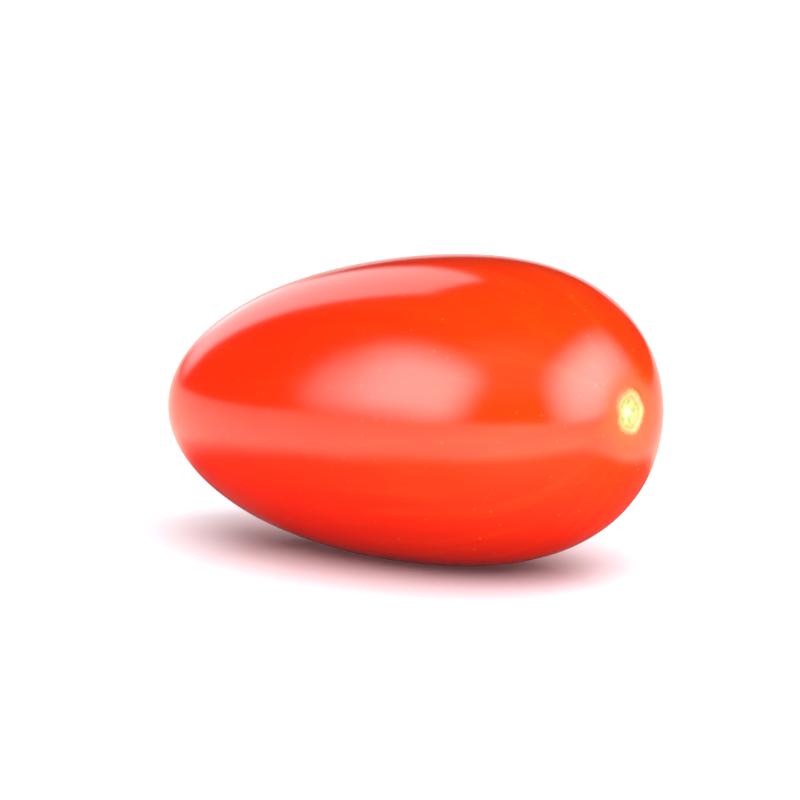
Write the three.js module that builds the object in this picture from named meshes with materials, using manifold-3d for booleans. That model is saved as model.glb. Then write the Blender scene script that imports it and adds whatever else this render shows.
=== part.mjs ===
// A small plum-shaped cherry tomato, picked, lying on its side with its stem end towards +X.
// Millimetres, +Z up. The origin is on the surface it lies on, under the middle of its box.

import * as THREE from 'three'
import { mergeVertices } from 'three/addons/utils/BufferGeometryUtils.js'
import Module from 'manifold-3d'

const wasm = await Module()
wasm.setup()

// Body
const length = 43 // from the blossom tip to the stem end
const girth = 24 // across the widest section
const middleFullness = 0.975 // at half length, where an ellipsoid of the same girth has 1
const taper = 0.19 // how much fuller the stem half is than the blossom half
const bluntness = 0.146 // how much fuller both ends are than an ellipsoid's
const shoulder = 0.07 // further fullness close to the stem end
const flattening = 0.008 // the section is this share wider than round, and as much lower
const lobing = 0.004 // swell of the skin over each of the seed chambers, as a share of the radius
const chambers = 3
const bow = 0.3 // sideways bend of the centre line at half length

// Stem end: a shallow dip round the scar that the stalk left
const dipDepth = 0.55
const dipRadius = 2.9
const scarRimRadius = 1.4
const scarRimWidth = 0.3
const scarRimHeight = 0.1
const scarPitRadius = 1.05
const scarPitDepth = 0.2
const scarPlugRadius = 0.45
const scarPlugHeight = 0.14

// Blossom end: the small point that the flower left
const nibRadius = 0.7
const nibHeight = 0.16

// How it lies
const lean = 5.4 // degrees that the narrow blossom end droops, with its weight over the flat spot
const flatSpotDepth = 0.26 // how much of the round underside the flat spot takes away

// Facets
const facetsRound = 56
const facetsAlong = 48
const crowding = 0.8 // 0 spaces the rings of facets evenly, near 1 crowds them at both ends

const hump = (radius, width) => Math.exp(-((radius / width) ** 2))

// Radius of the body where along runs from -1 at the blossom tip to 1 at the stem end.
function bodyRadius(along) {
  const fullness = middleFullness + taper * along + bluntness * along ** 2 + shoulder * along ** 3
  return (girth / 2) * Math.sqrt(1 - along ** 2) * fullness
}

// Height of the stem end's relief above the plain body, by distance from the axis.
function stemRelief(radius) {
  const dip = dipDepth * hump(radius, dipRadius)
  const rim = scarRimHeight * hump(radius - scarRimRadius, scarRimWidth)
  const pit = scarPitDepth * hump(radius ** 2, scarPitRadius ** 2)
  const plug = scarPlugHeight * hump(radius, scarPlugRadius)
  return rim + plug - pit - dip
}

// The outline from the blossom tip to the stem end, as points at radius and height up the axis.
function outline() {
  const points = []
  for (let ring = 0; ring <= facetsAlong; ring++) {
    const even = ring / facetsAlong
    const share = even - (crowding * Math.sin(2 * Math.PI * even)) / (2 * Math.PI)
    const along = -Math.cos(Math.PI * share)
    const radius = bodyRadius(along)
    const relief = along > 0 ? stemRelief(radius) : -nibHeight * hump(radius, nibRadius)
    points.push(new THREE.Vector2(radius, (length / 2) * along + relief))
  }
  return points
}

// Makes the turned body less regular: a section that is not quite round, on a centre line that bows.
function growUneven(geometry) {
  const position = geometry.attributes.position
  for (let i = 0; i < position.count; i++) {
    const side = position.getX(i)
    const up = position.getZ(i)
    const along = THREE.MathUtils.clamp(position.getY(i) / (length / 2), -1, 1)
    const angle = Math.atan2(up, side)
    const swell = 1 + flattening * Math.cos(2 * angle) + lobing * Math.cos(chambers * angle)
    position.setX(i, side * swell + bow * (1 - along ** 2))
    position.setZ(i, up * swell)
  }
}

// Turns a closed geometry into a solid that can be cut.
function solidFrom(geometry) {
  const bare = geometry.clone()
  bare.deleteAttribute('normal')
  bare.deleteAttribute('uv')
  const merged = mergeVertices(bare)
  const corners = Array.from(merged.index.array)
  const triangles = []
  for (let i = 0; i < corners.length; i += 3) {
    const [a, b, c] = corners.slice(i, i + 3)
    if (a !== b && b !== c && c !== a) triangles.push(a, b, c)
  }
  const vertProperties = new Float32Array(merged.attributes.position.array)
  const triVerts = new Uint32Array(triangles)
  return new wasm.Manifold(new wasm.Mesh({ numProp: 3, vertProperties, triVerts }))
}

function geometryFrom(solid) {
  const { vertProperties, triVerts } = solid.getMesh()
  const geometry = new THREE.BufferGeometry()
  geometry.setAttribute('position', new THREE.BufferAttribute(vertProperties, 3))
  geometry.setIndex(new THREE.BufferAttribute(triVerts, 1))
  geometry.computeVertexNormals()
  return geometry
}

// Everything below the surface that the tomato lies on.
function groundBlock() {
  const thickness = girth / 4
  const block = new THREE.BoxGeometry(length, girth, thickness)
  block.translate(0, 0, -thickness / 2)
  return block
}

// The whole fruit, turned on the Y axis, then laid along X and flattened where it lies.
function tomatoGeometry() {
  const body = new THREE.LatheGeometry(outline(), facetsRound)
  growUneven(body)
  body.rotateZ(-Math.PI / 2)
  body.rotateY(THREE.MathUtils.degToRad(-lean))
  body.computeBoundingBox()
  body.translate(0, 0, -body.boundingBox.min.z - flatSpotDepth)
  const lying = geometryFrom(solidFrom(body).subtract(solidFrom(groundBlock())))
  lying.computeBoundingBox()
  const middle = lying.boundingBox.getCenter(new THREE.Vector3())
  lying.translate(-middle.x, -middle.y, 0)
  return lying
}

const skin = new THREE.MeshStandardMaterial({ color: 0xee3208, roughness: 0.22, metalness: 0 })
const tomato = new THREE.Mesh(tomatoGeometry(), skin)
tomato.name = 'tomato'

const part = new THREE.Group()
part.add(tomato)

export default part
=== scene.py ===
"""A small plum-shaped cherry tomato, picked, lying on its side on a white table. Metres, +Z up."""

import math

import bmesh
import bpy
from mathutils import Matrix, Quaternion, Vector


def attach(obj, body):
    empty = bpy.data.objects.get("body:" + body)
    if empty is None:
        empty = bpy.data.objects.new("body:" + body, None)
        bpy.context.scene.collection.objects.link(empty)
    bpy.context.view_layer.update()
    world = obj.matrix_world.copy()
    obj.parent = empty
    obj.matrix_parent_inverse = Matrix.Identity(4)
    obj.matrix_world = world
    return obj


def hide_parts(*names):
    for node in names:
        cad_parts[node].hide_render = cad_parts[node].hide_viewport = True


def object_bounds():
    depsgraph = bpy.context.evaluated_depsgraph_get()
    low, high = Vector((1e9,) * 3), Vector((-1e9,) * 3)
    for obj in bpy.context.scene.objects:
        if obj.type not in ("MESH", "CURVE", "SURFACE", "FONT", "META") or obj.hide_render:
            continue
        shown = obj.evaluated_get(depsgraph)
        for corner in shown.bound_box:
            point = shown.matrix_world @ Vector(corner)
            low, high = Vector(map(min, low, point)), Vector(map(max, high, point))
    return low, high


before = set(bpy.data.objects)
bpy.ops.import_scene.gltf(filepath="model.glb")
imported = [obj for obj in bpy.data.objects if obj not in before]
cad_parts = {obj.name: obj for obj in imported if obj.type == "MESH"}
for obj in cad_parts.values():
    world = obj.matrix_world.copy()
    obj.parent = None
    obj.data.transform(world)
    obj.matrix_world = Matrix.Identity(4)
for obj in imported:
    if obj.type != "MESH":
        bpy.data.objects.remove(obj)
cad_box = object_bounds()

MM = 0.001

# Body, with its blossom tip towards -X and its stem end towards +X until it is laid down
LENGTH = 43 * MM
GIRTH = 24 * MM
MIDDLE_FULLNESS = 0.975
TAPER = 0.19
BLUNTNESS = 0.146
SHOULDER = 0.07
FLATTENING = 0.008
BOW = 0.3 * MM
LEAN = math.radians(5.4)
FLAT_SPOT_DEPTH = 0.26 * MM
SWELL_HEIGHT = 0.12 * MM
SWELL_SIZE = 13 * MM

# Stem end: a dip round the scar, with a corky rim, a pit, a plug and the ends of the stalk's vessels
DIP_DEPTH = 0.55 * MM
DIP_RADIUS = 2.9 * MM
RIM_RADIUS = 1.4 * MM
RIM_WIDTH = 0.3 * MM
RIM_HEIGHT = 0.1 * MM
PIT_RADIUS = 1.05 * MM
PIT_DEPTH = 0.2 * MM
PLUG_RADIUS = 0.45 * MM
PLUG_HEIGHT = 0.14 * MM
BUNDLES = 5
BUNDLE_RING = 0.74 * MM
BUNDLE_RADIUS = 0.17 * MM
BUNDLE_DEPTH = 0.1 * MM
CORNER_REACH = 0.1 * MM
CORK_ROUGHNESS = 0.1 * MM
CORK_GRAIN = 0.3 * MM

# Blossom end
NIB_RADIUS = 0.7 * MM
NIB_HEIGHT = 0.16 * MM

# Rings of the mesh, which crowd together at both ends
FACETS_ROUND = 64
FACETS_ALONG = 56
CROWDING = 0.8
SMOOTHING_LEVELS = 2

# Round patches of colour on both ends: full out to the first radius and gone at the second
HALO_PATCH = (1.3 * MM, 4.6 * MM)
RIM_PATCH = (1.5 * MM, 1.9 * MM)
YELLOW_PATCH = (1.3 * MM, 1.65 * MM)
# Painted shade: a darker ochre ring in the crease between the scar's rim and its green middle
CREVICE_SHADE_PATCH = (1.15 * MM, 1.3 * MM)
CREVICE_SHADE_HEART = (0.95 * MM, 1.1 * MM)
GREEN_PATCH = (0.85 * MM, 1.2 * MM)
BUNDLE_PATCH = (0.85 * MM, 1.1 * MM)
BUNDLE_HEART = (0.4 * MM, 0.65 * MM)
HEART_PATCH = (0.2 * MM, 0.55 * MM)
PUCKER_PATCH = (1.6 * MM, 3.2 * MM)
PUCKER_HEART = (1.4 * MM, 1.7 * MM)
TAN_PATCH = (0.45 * MM, 0.95 * MM)
BROWN_PATCH = (0.22 * MM, 0.42 * MM)

# Reach of the two ends' patches along the fruit, as shares of its length from the stem end
STEM_END = (0.07, 0.14)
BLOSSOM_END = (0.97, 0.93)

# Soft noise swings about this value
NOISE_MIDDLE = 0.5

# The red deepens between these shares of the length from the stem end, and blotches shift that
RIPENING = (0.1, 0.8)
RIPENING_SHIFT = 0.25
BLOTCH_SIZE = 9 * MM
# Painted shade: below SHADED_BELOW the skin is painted a deeper red, full at DEEPEST_BELOW, and blotches
# move that edge by up to BLOTCH_REACH
BLOTCH_REACH = 4 * MM
SHADED_BELOW = 13 * MM
DEEPEST_BELOW = 3 * MM

# Streaks run from the stem end, where they and the specks are strongest
NEAR_STEM = (0.0, 0.6)
STREAK_WIDTH = 0.1
STREAK_STRETCH = 0.5
STREAK_DETAIL = 3.0
STREAK_LEVELS = (0.45, 0.75)
SPECK_SPACING = 1.1 * MM
SPECK_RADIUS = 0.16 * MM
SPECK_PATCH = (SPECK_RADIUS / 3, SPECK_RADIUS)
SPECK_LUCK = (0.3, 0.6)

# Ragged edges of the scar and the blossom tip
RAGGED_SIZE = 0.4 * MM
RAGGED_DETAIL = 4.0
RAGGED_REACH = 0.5 * MM
STAR_REACH = 0.06 * MM
BUNDLE_RAGGED = 1.2
BUNDLE_LEVELS = (0.1, 0.9)

# How thickly a colour is laid. The first value of a pair holds everywhere, the second adds near the stem
# Painted shade: how thickly the deeper red lies on the lying fruit's lower side
UNDERSIDE_SHADE_COVER = 0.85
STREAK_COVER = (0.08, 0.3)
SPECK_COVER = (0.1, 0.2)
HALO_COVER = 0.75
# Painted shade: how thickly the ochre lies in the scar's crease
CREVICE_SHADE_COVER = 0.6
BUNDLE_COVER = 0.5
TAN_COVER = 0.6

# Gloss and relief of the skin
SHEEN_SIZE = 2.5 * MM
SKIN_ROUGHNESS = 0.14
SHEEN_CHANGE = 0.05
DRY_ROUGHNESS = 0.35
PORE_SIZE = 0.5 * MM
PORE_RELIEF = 0.15
CORK_RELIEF = 2.5
PUCKER_WIDTH = 0.25
PUCKER_DETAIL = 1.0
PUCKER_RELIEF = 1.5
RELIEF_HEIGHT = 0.05 * MM
RELIEF_STRENGTH = 0.35
SKIN_IOR = 1.5
SKIN_SPECULAR = 0.9
COAT_WEIGHT = 0.08
COAT_ROUGHNESS = 0.1

# Light that sinks into the flesh: its share, and how far its red, green and blue travel
SUNKEN_LIGHT = 0.3
SUNKEN_COLOURS = (1.0, 0.22, 0.08)
SUNKEN_REACH = 2.2 * MM

# Colours
SHOULDER_RED = "ef3905"
BELLY_RED = "ea2803"
# Painted shade for the lower side of the lying fruit
UNDERSIDE_SHADE_RED = "d81402"
STREAK_ORANGE = "f24a0c"
SPECK_ORANGE = "fa8a3c"
HALO_ORANGE = "f45a08"
RIM_PEACH = "e5863c"
RIM_YELLOW = "e4bb74"
# Painted shade in the crease inside the scar's rim
CREVICE_SHADE_OCHRE = "b48c40"
SCAR_GREEN = "bec86e"
BUNDLE_OLIVE = "8a9246"
SCAR_HEART = "dcebb0"
TIP_TAN = "d9702c"
TIP_BROWN = "6e3514"
TABLE_WHITE = "eeecf1"
TABLE_MIRRORED = "f4d3c3"
TABLE_SHADE = "702018"

# Camera, at the photograph's angle, and the width that it sees where the fruit lies
CAMERA_AZIMUTH = 36.5
CAMERA_ELEVATION = 10.3
CAMERA_DISTANCE = 0.544
SENSOR_WIDTH = 36.0
VIEW_WIDTH = 0.061

# Table, with a faint glow of its own that keeps the fruit's shadow from going black
TABLE_RADIUS = 2.5
TABLE_SIDES = 96
TABLE_ROUGHNESS = 0.3
TABLE_IOR = 1.3
TABLE_SPECULAR = 0.3
TABLE_GLOW = 0.05
GLOW_COLOUR = (1.0, 0.7, 0.75, 1.0)

# Shade that the skin mirrors in the table, longer along the fruit than across it
SHADE_CENTRE = 8 * MM
SHADE_STRETCH = 1.35
SHADE_PATCH = (25 * MM, 38 * MM)

# Light of the room, for everything but the camera
ROOM_LIGHT = 0.03


def hump(distance, width):
    """A smooth bump of height 1 that has fallen to 0.37 at the given distance from its middle."""
    return math.exp(-((distance / width) ** 2))


def body_radius(along):
    """Radius of the body where along runs from -1 at the blossom tip to 1 at the stem end."""
    fullness = MIDDLE_FULLNESS + TAPER * along + BLUNTNESS * along**2 + SHOULDER * along**3
    return GIRTH / 2 * math.sqrt(1 - along**2) * fullness


def stem_relief(radius):
    """Height of the stem end's relief above the plain body."""
    dip = DIP_DEPTH * hump(radius, DIP_RADIUS)
    rim = RIM_HEIGHT * hump(radius - RIM_RADIUS, RIM_WIDTH)
    pit = PIT_DEPTH * hump(radius**2, PIT_RADIUS**2)
    plug = PLUG_HEIGHT * hump(radius, PLUG_RADIUS)
    return rim + plug - pit - dip


def ring_place(ring):
    """Distance along X, sideways bow and radius of one ring of the body's mesh."""
    even = ring / FACETS_ALONG
    share = even - CROWDING * math.sin(2 * math.pi * even) / (2 * math.pi)
    along = -math.cos(math.pi * share)
    radius = body_radius(along)
    relief = stem_relief(radius) if along > 0 else -NIB_HEIGHT * hump(radius, NIB_RADIUS)
    return LENGTH / 2 * along + relief, -BOW * (1 - along**2), radius


def radius_of(place):
    """Distance from the fruit's axis, before it is laid down."""
    return math.hypot(place.y, place.z)


def select_vertices(mesh_object, chosen):
    """Selects the vertices whose place passes the test, and the edges and faces between them."""
    mesh = bmesh.from_edit_mesh(mesh_object.data)
    for vertex in mesh.verts:
        vertex.select = chosen(vertex.co)
    mesh.select_flush_mode()
    bmesh.update_edit_mesh(mesh_object.data)


def start_at_tip():
    """A fan of faces round the blossom tip, left in edit mode with its edge selected."""
    tip_x = ring_place(0)[0]
    x, y, radius = ring_place(1)
    bpy.ops.object.select_all(action="DESELECT")
    bpy.ops.mesh.primitive_circle_add(
        vertices=FACETS_ROUND,
        radius=radius,
        fill_type="TRIFAN",
        location=(x, y, 0),
        rotation=(0, math.pi / 2, 0),
    )
    body = bpy.context.object
    body.name = "tomato_fruit"
    bpy.ops.object.transform_apply(location=True, rotation=True, scale=True)
    bpy.ops.object.mode_set(mode="EDIT")
    bpy.ops.mesh.select_mode(type="VERT")
    bpy.ops.mesh.select_all(action="SELECT")
    section = (1, 1 + FLATTENING, 1 - FLATTENING)
    bpy.ops.transform.resize(value=section, center_override=(x, y, 0))
    select_vertices(body, lambda place: radius_of(place) < radius / 2)
    bpy.ops.transform.translate(value=(tip_x - x, -y, 0))
    select_vertices(body, lambda place: radius_of(place) > radius / 2)
    return body


def grow_body():
    """The fruit's skin, extruded ring by ring from the blossom tip to the stem end."""
    body = start_at_tip()
    x, y, radius = ring_place(1)
    for ring in range(2, FACETS_ALONG):
        next_x, next_y, next_radius = ring_place(ring)
        growth = next_radius / radius
        step = (next_x - x, next_y - y, 0)
        bpy.ops.mesh.extrude_region_move(TRANSFORM_OT_translate={"value": step})
        bpy.ops.transform.resize(value=(1, growth, growth), center_override=(next_x, next_y, 0))
        x, y, radius = next_x, next_y, next_radius
    last_step = (ring_place(FACETS_ALONG)[0] - x, -y, 0)
    bpy.ops.mesh.extrude_region_move(TRANSFORM_OT_translate={"value": last_step})
    bpy.ops.mesh.merge(type="CENTER")
    bpy.ops.mesh.select_all(action="SELECT")
    bpy.ops.mesh.normals_make_consistent(inside=False)
    bpy.ops.object.mode_set(mode="OBJECT")
    return body


def apply_modifier(piece, kind, **settings):
    """Adds a modifier with its settings and applies it."""
    modifier = piece.modifiers.new(kind.lower(), kind)
    for name, value in settings.items():
        setattr(modifier, name, value)
    bpy.ops.object.modifier_apply(modifier=modifier.name)


def cloud_texture(name, size):
    """Soft noise with clouds of the given size, for a Displace modifier."""
    texture = bpy.data.textures.new(name, "CLOUDS")
    texture.noise_scale = size
    return texture


def smooth_body(body):
    """Rounds the facets off and gives the skin its faint swells."""
    levels = SMOOTHING_LEVELS
    swells = cloud_texture("swells", SWELL_SIZE)
    apply_modifier(body, "SUBSURF", levels=levels, render_levels=levels)
    apply_modifier(body, "DISPLACE", texture=swells, strength=SWELL_HEIGHT)


def nudge(body, middle, reach, move):
    """Moves the skin near a place, and less and less of it further away."""
    select_vertices(body, lambda place: (place - middle).length < reach)
    bpy.ops.transform.translate(
        value=move,
        use_proportional_edit=True,
        proportional_edit_falloff="SMOOTH",
        proportional_size=2 * reach,
    )


def shape_scar(body):
    """Gives the scar's rim a corner and its pit a dimple for each bundle of the stalk's vessels."""
    stem_end = Vector((ring_place(FACETS_ALONG)[0], 0, 0))
    bpy.ops.object.mode_set(mode="EDIT")
    for bundle in range(BUNDLES):
        angle = 2 * math.pi * bundle / BUNDLES
        outwards = Vector((0, math.cos(angle), math.sin(angle)))
        nudge(body, stem_end + outwards * RIM_RADIUS, RIM_WIDTH, outwards * CORNER_REACH)
        nudge(body, stem_end + outwards * BUNDLE_RING, BUNDLE_RADIUS, (-BUNDLE_DEPTH, 0, 0))
    bpy.ops.object.mode_set(mode="OBJECT")


def roughen_cork(body):
    """Makes the scar's dry cork uneven, and leaves the smooth skin round it alone."""
    cork = body.vertex_groups.new(name="cork")
    for vertex in body.data.vertices:
        if vertex.co.x > 0:
            cork.add([vertex.index], hump(radius_of(vertex.co), RIM_RADIUS), "REPLACE")
    grain = cloud_texture("cork_grain", CORK_GRAIN)
    apply_modifier(
        body, "DISPLACE", texture=grain, vertex_group=cork.name, strength=CORK_ROUGHNESS
    )


def box_corner(body, pick):
    """The lowest or highest corner of the body's box, with min or max to pick it."""
    places = [vertex.co for vertex in body.data.vertices]
    return Vector(pick(place[axis] for place in places) for axis in range(3))


def lay_down(body):
    """Leans the fruit on its belly, sets it where the CAD fruit lies, and presses its flat spot.

    Returns how far it moved after it was leaned.
    """
    bpy.ops.object.mode_set(mode="EDIT")
    bpy.ops.mesh.select_all(action="SELECT")
    bpy.ops.transform.rotate(value=LEAN, orient_axis="Y", center_override=(0, 0, 0))
    bpy.ops.object.mode_set(mode="OBJECT")
    low = box_corner(body, min)
    move = (cad_box[0] + cad_box[1]) / 2 - (low + box_corner(body, max)) / 2
    move.z = -FLAT_SPOT_DEPTH - low.z
    bpy.ops.object.mode_set(mode="EDIT")
    bpy.ops.transform.translate(value=move)
    select_vertices(body, lambda place: place.z < 0)
    bpy.ops.transform.resize(value=(1, 1, 0), center_override=(0, 0, 0))
    bpy.ops.object.mode_set(mode="OBJECT")
    bpy.ops.object.shade_smooth()
    return move


def scar_centre(move):
    """Where the fruit's axis leaves the stem end, once it is leaned and moved."""
    x = ring_place(FACETS_ALONG)[0]
    return Vector((x * math.cos(LEAN), 0, x * math.sin(LEAN))) + move


class Wire:
    """An output in a node tree, with arithmetic on numbers: each operation adds a Math node."""

    def __init__(self, nodes, socket):
        self.nodes = nodes
        self.socket = socket

    def __add__(self, other):
        return self.nodes.math("ADD", self, other)

    __radd__ = __add__

    def __sub__(self, other):
        return self.nodes.math("SUBTRACT", self, other)

    def __rsub__(self, other):
        return self.nodes.math("SUBTRACT", other, self)

    def __mul__(self, other):
        return self.nodes.math("MULTIPLY", self, other)

    __rmul__ = __mul__

    def __truediv__(self, other):
        return self.nodes.math("DIVIDE", self, other)


class Nodes:
    """Adds nodes to an emptied tree."""

    def __init__(self, owner):
        owner.use_nodes = True
        self.tree = owner.node_tree
        self.tree.nodes.clear()

    def add(self, kind, output=None, settings=None, sockets=None):
        """Adds a node, makes its settings, feeds its sockets and returns the named output."""
        node = self.tree.nodes.new(kind)
        for name, value in (settings or {}).items():
            setattr(node, name, value)
        for name, value in (sockets or {}).items():
            self.feed(self.live(node.inputs, name), value)
        return Wire(self, self.live(node.outputs, output)) if output else node

    def live(self, sockets, name):
        """The socket of that name or number that the node's settings leave in use."""
        if isinstance(name, int):
            return sockets[name]
        return next(socket for socket in sockets if socket.name == name and socket.enabled)

    def feed(self, socket, value):
        if isinstance(value, Wire):
            self.tree.links.new(value.socket, socket)
        else:
            socket.default_value = value

    def math(self, operation, first, second=0.0):
        sockets = {0: first, 1: second}
        return self.add("ShaderNodeMath", "Value", {"operation": operation}, sockets)

    def split(self, vector):
        """The three numbers of a vector or a colour."""
        node = self.add("ShaderNodeSeparateXYZ", None, None, {"Vector": vector})
        return [Wire(self, socket) for socket in node.outputs]

    def mix(self, factor, first, second):
        """Goes from the first colour at 0 to the second at 1."""
        sockets = {"Factor": factor, "A": first, "B": second}
        return self.add("ShaderNodeMix", "Result", {"data_type": "RGBA"}, sockets)

    def paint(self, colour, mask, code):
        """Lays the colour of that code over the other, as thickly as the mask says."""
        return self.mix(mask, colour, shade(code))

    def ease(self, value, low, high):
        """Goes smoothly from 0 where the value is low to 1 where it is high."""
        settings = {"interpolation_type": "SMOOTHSTEP"}
        sockets = {"Value": value, "From Min": low, "From Max": high}
        return self.add("ShaderNodeMapRange", "Result", settings, sockets)

    def patch(self, value, reach):
        """1 up to the reach's first value and 0 past its second."""
        full, gone = reach
        return self.ease(value, gone, full)

    def ring(self, value, heart, reach):
        """A patch without its heart, which is a smaller patch."""
        empty, full = heart
        return self.ease(value, empty, full) * self.patch(value, reach)

    def noise(self, place, size, detail=2.0):
        """Soft noise about NOISE_MIDDLE, with spots of about the given size."""
        sockets = {"Vector": place, "Scale": 1 / size, "Detail": detail}
        return self.add("ShaderNodeTexNoise", "Fac", None, sockets)

    def specks(self, place, spacing, reach, luck_levels):
        """Small soft dots, one in most cells of the given spacing. Luck decides which cells."""
        sockets = {"Vector": place, "Scale": 1 / spacing}
        cells = self.add("ShaderNodeTexVoronoi", None, None, sockets)
        distance = Wire(self, cells.outputs["Distance"]) * spacing
        luck = self.split(Wire(self, cells.outputs["Color"]))[0]
        return self.patch(distance, reach) * self.ease(luck, *luck_levels)


def shade(code):
    """A colour written as six hex digits, as the shader takes it."""
    levels = [int(code[i : i + 2], 16) / 255 for i in (0, 2, 4)]
    linear = [v / 12.92 if v <= 0.04045 else ((v + 0.055) / 1.055) ** 2.4 for v in levels]
    return (*linear, 1.0)


class SkinPlace:
    """Where a point of the skin is, along and round the fruit's own axis from its stem end."""

    def __init__(self, nodes, stem_end):
        self.nodes = nodes
        lying = nodes.add("ShaderNodeTexCoord", "Object")
        self.height = nodes.split(lying)[2]
        sockets = {"Vector": lying, "Location": stem_end, "Rotation": (0, -LEAN, 0)}
        self.point = nodes.add("ShaderNodeMapping", "Vector", {"vector_type": "TEXTURE"}, sockets)
        x, y, z = nodes.split(self.point)
        self.radius = nodes.math("SQRT", y * y + z * z)
        self.from_stem = x * (-1 / LENGTH)
        self.at_stem = nodes.patch(self.from_stem, STEM_END)
        self.at_tip = nodes.patch(self.from_stem, BLOSSOM_END)
        self.near_stem = nodes.patch(self.from_stem, NEAR_STEM)
        sockets = {
            "X": y / self.radius,
            "Y": z / self.radius,
            "Z": self.from_stem * STREAK_STRETCH,
        }
        self.meridian = nodes.add("ShaderNodeCombineXYZ", "Vector", None, sockets)
        self.star = nodes.math("COSINE", nodes.math("ARCTAN2", z, y) * BUNDLES)
        self.ragged = nodes.noise(self.point, RAGGED_SIZE, RAGGED_DETAIL) - NOISE_MIDDLE
        self.scar_radius = self.radius + self.ragged * RAGGED_REACH - self.star * STAR_REACH
        self.tip_radius = self.radius + self.ragged * RAGGED_REACH

    def cover(self, shares):
        """How thickly a colour lies that is laid on more near the stem."""
        everywhere, extra = shares
        return everywhere + extra * self.near_stem

    def on_scar(self, reach):
        """A ragged round patch of the scar."""
        return self.nodes.patch(self.scar_radius, reach) * self.at_stem

    def on_tip(self, reach):
        """A ragged round patch of the dry point that the flower left."""
        return self.nodes.patch(self.tip_radius, reach) * self.at_tip


def ripe_colour(nodes, skin):
    """Red that is more orange towards the stem, with streaks and specks, and a painted shade of deeper
    red underneath.
    """
    blotches = nodes.noise(skin.point, BLOTCH_SIZE)
    ripeness = nodes.ease(skin.from_stem + RIPENING_SHIFT * blotches, *RIPENING)
    # Painted shade on the lower side of the lying fruit, deepest at the bottom
    painted_underside_shade = nodes.ease(skin.height + blotches * BLOTCH_REACH, SHADED_BELOW, DEEPEST_BELOW)
    grain = nodes.noise(skin.meridian, STREAK_WIDTH, STREAK_DETAIL)
    streaks = nodes.ease(grain, *STREAK_LEVELS)
    specks = nodes.specks(skin.point, SPECK_SPACING, SPECK_PATCH, SPECK_LUCK)
    halo = nodes.patch(skin.radius, HALO_PATCH) * skin.at_stem
    colour = nodes.paint(shade(SHOULDER_RED), ripeness, BELLY_RED)
    # Painted shade: a deeper red laid over the lower side
    colour = nodes.paint(colour, UNDERSIDE_SHADE_COVER * painted_underside_shade, UNDERSIDE_SHADE_RED)
    colour = nodes.paint(colour, streaks * skin.cover(STREAK_COVER), STREAK_ORANGE)
    colour = nodes.paint(colour, specks * skin.cover(SPECK_COVER), SPECK_ORANGE)
    return nodes.paint(colour, HALO_COVER * halo, HALO_ORANGE)


def add_scar_colour(nodes, skin, colour):
    """A peach and yellow rim of cork round a green scar, where the bundles show as olive dots, with
    painted shade in the crease inside the rim.
    """
    # Painted shade: an ochre ring in the crease inside the scar's rim
    crevice_shade = nodes.ring(skin.scar_radius, CREVICE_SHADE_HEART, CREVICE_SHADE_PATCH) * skin.at_stem
    in_ring = nodes.ring(skin.radius, BUNDLE_HEART, BUNDLE_PATCH) * skin.at_stem
    dots = nodes.ease(skin.star + skin.ragged * BUNDLE_RAGGED, *BUNDLE_LEVELS) * in_ring
    colour = nodes.paint(colour, skin.on_scar(RIM_PATCH), RIM_PEACH)
    colour = nodes.paint(colour, skin.on_scar(YELLOW_PATCH), RIM_YELLOW)
    colour = nodes.paint(colour, skin.on_scar(GREEN_PATCH), SCAR_GREEN)
    colour = nodes.paint(colour, CREVICE_SHADE_COVER * crevice_shade, CREVICE_SHADE_OCHRE)
    colour = nodes.paint(colour, BUNDLE_COVER * dots, BUNDLE_OLIVE)
    return nodes.paint(colour, skin.on_scar(HEART_PATCH), SCAR_HEART)


def add_tip_colour(nodes, skin, colour):
    """The dry brown point that the flower left, in a tan ring."""
    colour = nodes.paint(colour, TAN_COVER * skin.on_tip(TAN_PATCH), TIP_TAN)
    return nodes.paint(colour, skin.on_tip(BROWN_PATCH), TIP_BROWN)


def skin_relief(nodes, skin, dry):
    """Fine pores, rough cork, and the small puckers that run into the scar."""
    near_scar = nodes.ring(skin.radius, PUCKER_HEART, PUCKER_PATCH) * skin.at_stem
    puckers = nodes.noise(skin.meridian, PUCKER_WIDTH, PUCKER_DETAIL) * near_scar
    pores = nodes.noise(skin.point, PORE_SIZE)
    height = pores * PORE_RELIEF + skin.ragged * dry * CORK_RELIEF + puckers * PUCKER_RELIEF
    sockets = {"Strength": RELIEF_STRENGTH, "Distance": RELIEF_HEIGHT, "Height": height}
    return nodes.add("ShaderNodeBump", "Normal", None, sockets)


def skin_finish(stem_end):
    """Glossy ripe skin that light sinks into a little, with a corky scar and a dry point."""
    material = bpy.data.materials.new("tomato_skin")
    nodes = Nodes(material)
    skin = SkinPlace(nodes, stem_end)
    dry = nodes.math("MAXIMUM", skin.on_scar(RIM_PATCH), skin.on_tip(BROWN_PATCH))
    colour = ripe_colour(nodes, skin)
    colour = add_scar_colour(nodes, skin, colour)
    colour = add_tip_colour(nodes, skin, colour)
    sheen = nodes.noise(skin.point, SHEEN_SIZE) - NOISE_MIDDLE
    sockets = {
        "Base Color": colour,
        "Roughness": SKIN_ROUGHNESS + SHEEN_CHANGE * sheen + DRY_ROUGHNESS * dry,
        "Normal": skin_relief(nodes, skin, dry),
        "IOR": SKIN_IOR,
        "Specular IOR Level": SKIN_SPECULAR,
        "Subsurface Weight": SUNKEN_LIGHT,
        "Subsurface Radius": SUNKEN_COLOURS,
        "Subsurface Scale": SUNKEN_REACH,
        "Coat Weight": COAT_WEIGHT,
        "Coat Roughness": COAT_ROUGHNESS,
    }
    surface = nodes.add("ShaderNodeBsdfPrincipled", "BSDF", None, sockets)
    nodes.add("ShaderNodeOutputMaterial", sockets={"Surface": surface})
    return material


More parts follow.
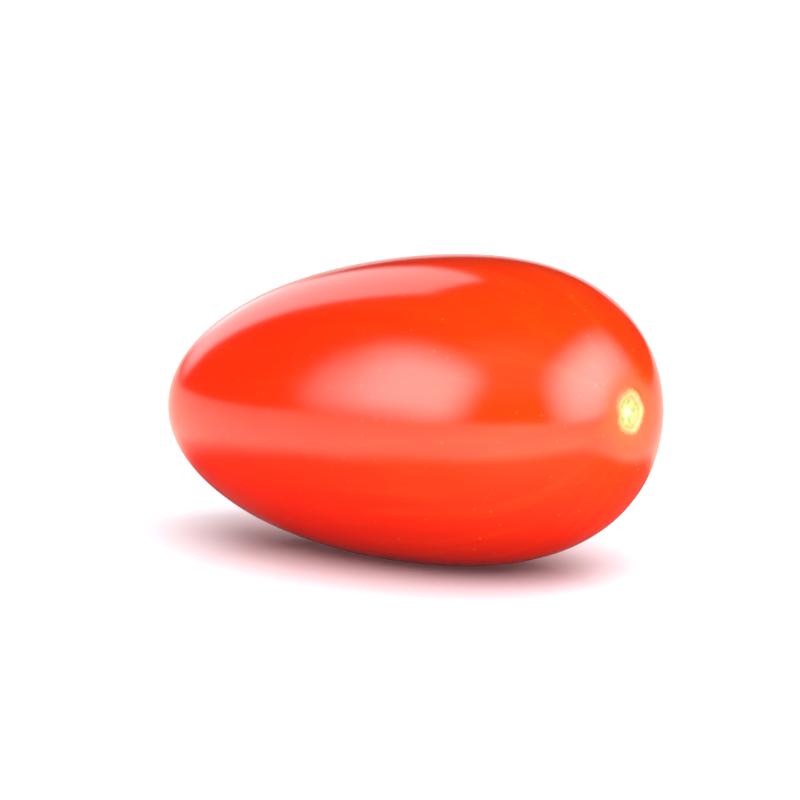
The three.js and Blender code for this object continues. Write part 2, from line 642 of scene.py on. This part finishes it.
def table_finish():
    """Satin white. The skin mirrors it warmer, and in shade close by, so that it stays red there."""
    material = bpy.data.materials.new("white_table")
    nodes = Nodes(material)
    x, y, _ = nodes.split(nodes.add("ShaderNodeTexCoord", "Object"))
    along = (x - SHADE_CENTRE) / SHADE_STRETCH
    close_by = nodes.patch(nodes.math("SQRT", along * along + y * y), SHADE_PATCH)
    mirrored = nodes.add("ShaderNodeLightPath", "Is Glossy Ray")
    colour = nodes.paint(shade(TABLE_WHITE), mirrored, TABLE_MIRRORED)
    colour = nodes.paint(colour, close_by * mirrored, TABLE_SHADE)
    sockets = {
        "Base Color": colour,
        "Roughness": TABLE_ROUGHNESS,
        "IOR": TABLE_IOR,
        "Specular IOR Level": TABLE_SPECULAR,
        "Emission Color": GLOW_COLOUR,
        "Emission Strength": TABLE_GLOW,
    }
    surface = nodes.add("ShaderNodeBsdfPrincipled", "BSDF", None, sockets)
    nodes.add("ShaderNodeOutputMaterial", sockets={"Surface": surface})
    return material


def add_table():
    bpy.ops.mesh.primitive_circle_add(
        vertices=TABLE_SIDES, radius=TABLE_RADIUS, fill_type="NGON"
    )
    table = bpy.context.object
    table.name = "table"
    table.data.materials.append(table_finish())
    return table


def direction(azimuth, elevation):
    """The direction at an azimuth and elevation in degrees, with azimuth 0 towards -Y."""
    a = math.radians(azimuth)
    e = math.radians(elevation)
    return Vector((math.sin(a) * math.cos(e), -math.cos(a) * math.cos(e), math.sin(e)))


def light_only(lamp, lit):
    """Keeps a lamp's light off everything but one object."""
    receivers = bpy.data.collections.new(lamp.name + "_receivers")
    receivers.objects.link(lit)
    lamp.light_linking.receiver_collection = receivers


def dim_edges(lamp, soft_edge):
    """Fades a lamp out over the given share of its width and height at each edge."""
    nodes = Nodes(lamp.data)
    glow = 1.0
    for share in nodes.split(nodes.add("ShaderNodeNewGeometry", "Parametric"))[:2]:
        glow = glow * nodes.ease(share, 0, soft_edge) * nodes.ease(share, 1, 1 - soft_edge)
    light = nodes.add("ShaderNodeEmission", "Emission", None, {"Strength": glow})
    nodes.add("ShaderNodeOutputLight", sockets={"Surface": light})


def add_softbox(name, lit, azimuth, rise, distance, size, brightness, soft_edge, tilt=0, roll=0):
    """A panel of light, at an azimuth counted from the camera's. Tilt turns its face down.

    Returns the lamp.
    """
    width, height = size
    away = direction(CAMERA_AZIMUTH + azimuth, 0) * distance
    bpy.ops.object.light_add(type="AREA", location=away + Vector((0, 0, rise)))
    lamp = bpy.context.object
    lamp.name = name
    facing = direction(CAMERA_AZIMUTH + azimuth, tilt).to_track_quat("Z", "Y")
    lamp.rotation_euler = (facing @ Quaternion((0, 0, 1), math.radians(roll))).to_euler()
    lamp.data.shape = "RECTANGLE"
    lamp.data.size = width
    lamp.data.size_y = height
    lamp.data.energy = brightness * width * height * math.pi
    lamp.visible_camera = False
    light_only(lamp, lit)
    dim_edges(lamp, soft_edge)
    return lamp


def light_table(table):
    """Wide light from behind and from the front, so that the fruit's shadow stays short and soft."""
    add_softbox(
        "table_lamp", table, azimuth=170, rise=1.3, distance=0.8,
        size=(2.6, 2.6), brightness=2.1, soft_edge=0.1, tilt=58,
    )
    add_softbox(
        "table_fill", table, azimuth=20, rise=0.7, distance=0.5,
        size=(1.8, 1.4), brightness=3.7, soft_edge=0.2, tilt=54,
    )


def light_fruit(fruit):
    """A large softbox on each side of the camera, two panels behind that edge the skin, and a fill.

    The skin doesn't mirror the fill, so that the softboxes alone show in its gloss.
    """
    add_softbox(
        "key_softbox", fruit, azimuth=-57, rise=0.215, distance=0.5,
        size=(0.82, 0.66), brightness=3.9, soft_edge=0.4, tilt=26, roll=-5,
    )
    add_softbox(
        "side_softbox", fruit, azimuth=70, rise=0.22, distance=0.56,
        size=(1.3, 0.86), brightness=4.4, soft_edge=0.45, tilt=14,
    )
    add_softbox(
        "back_panel", fruit, azimuth=204.5, rise=0.72, distance=1.0,
        size=(0.6, 1.5), brightness=1.5, soft_edge=0.15,
    )
    add_softbox(
        "back_strip", fruit, azimuth=180, rise=0.09, distance=1.0,
        size=(0.8, 0.24), brightness=0.8, soft_edge=0.15,
    )
    front_fill = add_softbox(
        "front_fill", fruit, azimuth=0, rise=0.6, distance=0.6,
        size=(1.2, 1.0), brightness=4.0, soft_edge=0.3, tilt=42,
    )
    front_fill.visible_glossy = False


def add_room():
    """A dim white room that the camera sees as plain white."""
    world = bpy.data.worlds.new("room")
    bpy.context.scene.world = world
    nodes = Nodes(world)
    to_camera = nodes.add("ShaderNodeLightPath", "Is Camera Ray")
    sockets = {"Color": (1, 1, 1, 1), "Strength": ROOM_LIGHT + to_camera * (1 - ROOM_LIGHT)}
    light = nodes.add("ShaderNodeBackground", "Background", None, sockets)
    nodes.add("ShaderNodeOutputWorld", sockets={"Surface": light})
    bpy.context.scene.view_settings.view_transform = "Standard"


def add_camera():
    back = direction(CAMERA_AZIMUTH, CAMERA_ELEVATION)
    aim = (cad_box[0] + cad_box[1]) / 2
    bpy.ops.object.camera_add(location=aim + back * CAMERA_DISTANCE)
    camera = bpy.context.object
    camera.rotation_euler = (-back).to_track_quat("-Z", "Y").to_euler()
    camera.data.sensor_width = SENSOR_WIDTH
    camera.data.lens = SENSOR_WIDTH * CAMERA_DISTANCE / VIEW_WIDTH
    bpy.context.scene.camera = camera


add_camera()
fruit = grow_body()
smooth_body(fruit)
shape_scar(fruit)
roughen_cork(fruit)
move = lay_down(fruit)
fruit.data.materials.append(skin_finish(scar_centre(move)))
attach(fruit, "root")
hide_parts("tomato")
add_room()
light_table(add_table())
light_fruit(fruit)
